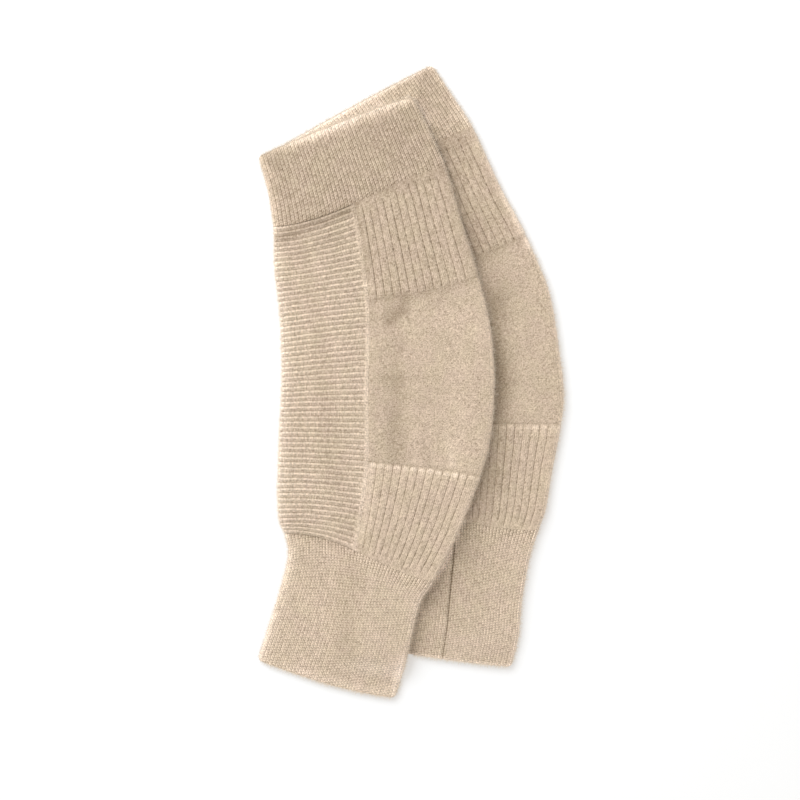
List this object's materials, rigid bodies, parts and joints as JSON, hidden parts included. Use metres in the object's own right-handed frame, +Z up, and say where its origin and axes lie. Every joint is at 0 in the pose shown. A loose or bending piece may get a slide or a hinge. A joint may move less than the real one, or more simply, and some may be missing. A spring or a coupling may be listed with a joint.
{
  "type": "pair of knee warmers",
  "caption": "Knitted wool knee warmers laid flat, one overlapping the other: bent tubes with rib bands and cuffs, wide-rib fronts, smooth knees and ridged backs.",
  "frame": {"origin": "middle of the pair's bounding box, on the surface that the pair lies on", "axes": "+Z up from the surface; +Y from the ankle cuffs towards the thigh bands; +X from the top warmer towards the under warmer"},
  "size_m": [0.2263, 0.4734, 0.0127],
  "materials": {
    "fine_rib_wool": "soft fine 1x1 rib knit, slightly fuzzy",
    "ridged_wool": "crosswise ridged knit, slightly fuzzy",
    "wide_rib_wool": "wide rib knit, slightly fuzzy",
    "plain_wool": "plain knit with a felted nap"
  },
  "bodies": {
    "root": {"top_warmer_band": "fine_rib_wool", "top_warmer_ridged_panel": "ridged_wool", "top_warmer_thigh_rib": "wide_rib_wool", "top_warmer_knee_panel": "plain_wool", "top_warmer_calf_rib": "wide_rib_wool", "top_warmer_cuff": "fine_rib_wool", "under_warmer_band": "fine_rib_wool", "under_warmer_ridged_panel": "ridged_wool", "under_warmer_thigh_rib": "wide_rib_wool", "under_warmer_knee_panel": "plain_wool", "under_warmer_calf_rib": "wide_rib_wool", "under_warmer_cuff": "fine_rib_wool"}
  },
  "joints": []
}
